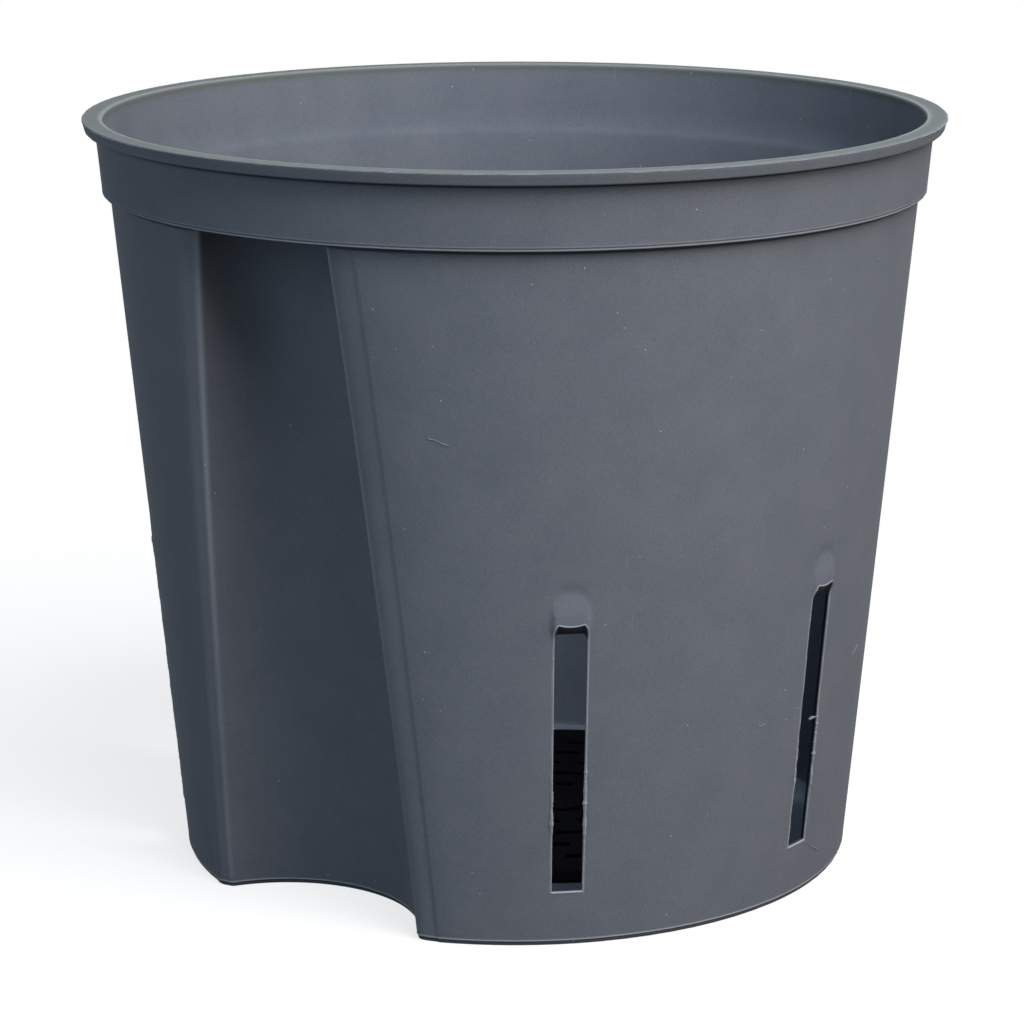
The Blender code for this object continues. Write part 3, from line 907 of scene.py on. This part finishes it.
def slotRingTree():                           # cuts one ring of curved slots
    bench, given = geometryTree("cut_a_ring_of_slots", {
        "Radius": ("Float", 0.011), "Slots": ("Int", 4), "Width": ("Float", 0.0026),
        "Bar": ("Float", 0.005), "Cut height": ("Float", 0.02), "Centre": ("Vector", None),
        "Material": ("Material", None)})
    share = 2 * math.pi / given["Slots"]
    sweep = share - given["Bar"] / given["Radius"]
    path = bench.node("GeometryNodeCurveArc", {"mode": "RADIUS"},
                      {"Resolution": 9, "Radius": given["Radius"], "Start Angle": sweep * -0.5,
                       "Sweep Angle": sweep})
    outline = bench.node("GeometryNodeCurvePrimitiveQuadrilateral", {"mode": "RECTANGLE"},
                         {"Width": given["Width"], "Height": given["Cut height"]})
    cutter = bench.node("GeometryNodeCurveToMesh", None,
                        {"Curve": path, "Profile Curve": outline, "Fill Caps": True})
    cutters = turnedCopies(bench, cutter, given["Slots"], share * 0.5 - math.pi / 2, share,
                           given["Centre"])
    cutters = bench.node("GeometryNodeRealizeInstances", None, {"Geometry": cutters})
    cut = bench.node("GeometryNodeMeshBoolean", {"operation": "DIFFERENCE", "solver": "EXACT"},
                     {"Mesh 1": given["Geometry"], "Mesh 2": cutters})
    endTree(bench, cut, given["Material"])
    return bench.tree


strainerPiece = strainerPlate(strainer)
ringCuts = [{"Radius": (strainer["firstRing"] + strainer["ringPitch"] * ring) * mm,
             "Slots": strainer["slotsAdded"] * (ring + 1), "Width": strainer["slotWidth"] * mm,
             "Bar": strainer["bar"] * mm, "Centre": (0, pot["openingOffset"] * mm, 0),
             "Material": blackPlastic} for ring in range(strainer["rings"])]
bake(strainerPiece, slotRingTree(), *ringCuts)
print("strainer made:", len(strainerPiece.data.polygons), "faces")


# Floor and light. The floor is lit softly and goes over to plain white round the object

studio = {
    "floorSize": 12.0, "floorHeight": -0.05 * mm, "floorBounce": 0.10,
    "shadowReach": 0.10, "shadowFade": 0.45, "shadowShare": 0.25,
    "world": (0.004, 0.004, 0.005, 1),
    "lampDistance": 1.1, "lampSize": 0.9, "lampAim": 0.1,
    "lamps": {                                # turn from the camera, rise, watts, colour
        "side": (51, 25, 8.3, (1.0, 0.95, 0.88)),
        "key": (37, 55, 14.8, (1.0, 0.94, 0.96)),
        "top": (20, 70, 5.4, (0.40, 0.72, 1.0)),
        "fill": (-48, 18, 4.4, (0.68, 0.84, 1.0)),
        "back": (178, 7, 6.0, (0.90, 0.95, 1.0))}}
white = (1, 1, 1, 1)


def seenDirectly(bench):                      # camera, mirror and glass rays
    rays = bench.node("ShaderNodeLightPath")
    seen = rays["Is Camera Ray"].above(rays["Is Glossy Ray"])
    return seen.above(rays["Is Transmission Ray"])


def makeFloor(values):
    half, height = values["floorSize"] / 2 / mm, values["floorHeight"] / mm
    corners = ((-half, -half), (half, -half), (half, half), (-half, half))
    floor = makePiece("floor", [(x, y, height) for x, y in corners], [(0, 1, 2, 3)])
    material = bpy.data.materials.new("white_floor")
    material.use_nodes = True
    bench = Bench(material.node_tree)
    for node in list(bench.tree.nodes):
        bench.tree.nodes.remove(node)
    place = bench.node("ShaderNodeTexCoord", output="Object")
    away = bench.node("ShaderNodeVectorMath", {"operation": "LENGTH"}, {0: place},
                      output="Value")
    plain = bench.step(away, values["shadowReach"], values["shadowFade"])
    plain = plain * values["shadowShare"] + (1 - values["shadowShare"])
    seen = seenDirectly(bench)
    shade = bench.blend(seen, (values["floorBounce"],) * 3 + (1,), white)
    matt = bench.node("ShaderNodeBsdfDiffuse", None, {"Color": shade})
    glow = bench.node("ShaderNodeEmission", None, {"Color": white, "Strength": 1.0})
    mixed = bench.node("ShaderNodeMixShader", None,
                       {0: plain * seen, 1: matt, 2: glow})
    bench.node("ShaderNodeOutputMaterial", None, {"Surface": mixed})
    floor.data.materials.append(material)


def makeWorld(colour):
    world = bpy.data.worlds.new("studio")
    world.use_nodes = True
    scene.world = world
    bench = Bench(world.node_tree)
    background = world.node_tree.nodes["Background"]
    bench.feed(background.inputs["Color"],
               bench.blend(seenDirectly(bench), colour, white))


def makeLamp(name, turn, rise, watts, colour):
    data = bpy.data.lights.new(name, "AREA")
    data.shape = "DISK"
    data.size = studio["lampSize"]
    data.energy = watts
    data.color = colour
    lamp = bpy.data.objects.new(name, data)
    scene.collection.objects.link(lamp)
    rise = math.radians(rise)
    x, y = bearing(math.radians(camera["turn"] + turn), math.cos(rise))
    away = Vector((x, y, math.sin(rise)))
    place = away * studio["lampDistance"] + Vector((0, 0, studio["lampAim"]))
    facing = away.to_track_quat("Z", "Y").to_matrix().to_4x4()
    lamp.matrix_world = Matrix.Translation(place) @ facing


makeFloor(studio)
makeWorld(studio["world"])
for name, values in studio["lamps"].items():
    makeLamp(name, *values)
scene.view_settings.view_transform = "Standard"
print("floor and lamps set")


# What moves with what, and which solid each piece stands for

for piece in (potPiece, rimFlash, slotFlash, leftFlash, hairlines):
    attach(piece, "pot")
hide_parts("culture_pot")
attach(strainerPiece, "strainer")
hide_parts("strainer_disc")
